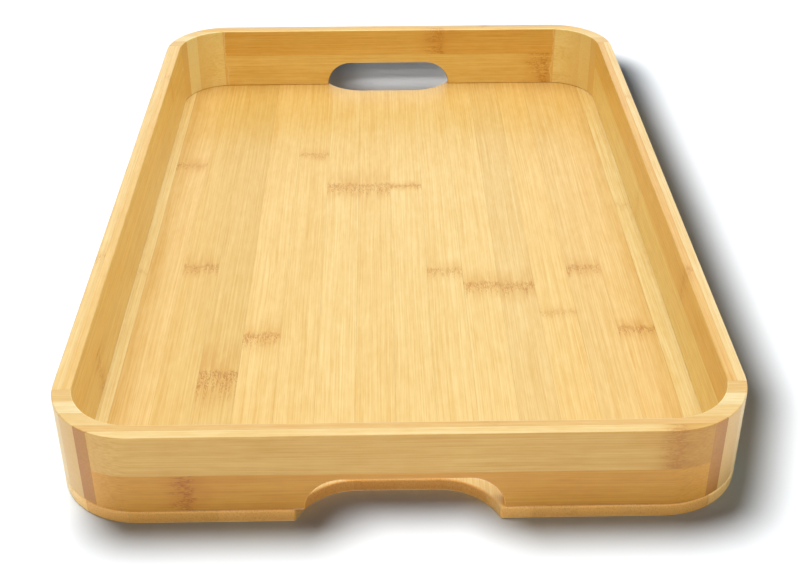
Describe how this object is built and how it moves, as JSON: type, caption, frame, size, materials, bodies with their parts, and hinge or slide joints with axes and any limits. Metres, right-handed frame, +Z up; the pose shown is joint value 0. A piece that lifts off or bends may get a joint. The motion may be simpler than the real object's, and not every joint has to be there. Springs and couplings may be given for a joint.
{
  "type": "serving tray",
  "caption": "Rectangular bamboo serving tray with rounded corners, upright walls and a hand opening through each end wall and the floor edge under it.",
  "frame": {"origin": "centre of the underside, on the surface that the tray stands on", "axes": "+Z up, +Y along the tray's length towards the back end, +X to the right"},
  "size_m": [0.32, 0.48, 0.05],
  "materials": {
    "bamboo_base": "satin, pale straw-coloured bamboo, flat-grain slats with node marks",
    "bamboo_wall": "satin, honey-coloured bamboo strips with lengthwise fibres and node marks",
    "bamboo_corner": "satin, pale tan bamboo with end fibres showing on the curve"
  },
  "bodies": {
    "root": {"back_left_corner_1_lower": "bamboo_corner", "back_left_corner_1_upper": "bamboo_corner", "back_left_corner_2_lower": "bamboo_corner", "back_left_corner_2_upper": "bamboo_corner", "back_left_corner_3_lower": "bamboo_corner", "back_left_corner_3_upper": "bamboo_corner", "back_right_corner_1_lower": "bamboo_corner", "back_right_corner_1_upper": "bamboo_corner", "back_right_corner_2_lower": "bamboo_corner", "back_right_corner_2_upper": "bamboo_corner", "back_right_corner_3_lower": "bamboo_corner", "back_right_corner_3_upper": "bamboo_corner", "back_wall_inner_lower": "bamboo_wall", "back_wall_inner_upper": "bamboo_wall", "back_wall_outer_lower": "bamboo_wall", "back_wall_outer_upper": "bamboo_wall", "base_slat_01": "bamboo_base", "base_slat_02": "bamboo_base", "base_slat_03": "bamboo_base", "base_slat_04": "bamboo_base", "base_slat_05": "bamboo_base", "base_slat_06": "bamboo_base", "base_slat_07": "bamboo_base", "base_slat_08": "bamboo_base", "base_slat_09": "bamboo_base", "base_slat_10": "bamboo_base", "base_slat_11": "bamboo_base", "base_slat_12": "bamboo_base", "base_slat_13": "bamboo_base", "base_slat_14": "bamboo_base", "base_slat_15": "bamboo_base", "base_slat_16": "bamboo_base", "front_left_corner_1_lower": "bamboo_corner", "front_left_corner_1_upper": "bamboo_corner", "front_left_corner_2_lower": "bamboo_corner", "front_left_corner_2_upper": "bamboo_corner", "front_left_corner_3_lower": "bamboo_corner", "front_left_corner_3_upper": "bamboo_corner", "front_right_corner_1_lower": "bamboo_corner", "front_right_corner_1_upper": "bamboo_corner", "front_right_corner_2_lower": "bamboo_corner", "front_right_corner_2_upper": "bamboo_corner", "front_right_corner_3_lower": "bamboo_corner", "front_right_corner_3_upper": "bamboo_corner", "front_wall_inner_lower": "bamboo_wall", "front_wall_inner_upper": "bamboo_wall", "front_wall_outer_lower": "bamboo_wall", "front_wall_outer_upper": "bamboo_wall", "left_wall_inner_lower": "bamboo_wall", "left_wall_inner_upper": "bamboo_wall", "left_wall_outer_lower": "bamboo_wall", "left_wall_outer_upper": "bamboo_wall", "right_wall_inner_lower": "bamboo_wall", "right_wall_inner_upper": "bamboo_wall", "right_wall_outer_lower": "bamboo_wall", "right_wall_outer_upper": "bamboo_wall"}
  },
  "joints": []
}
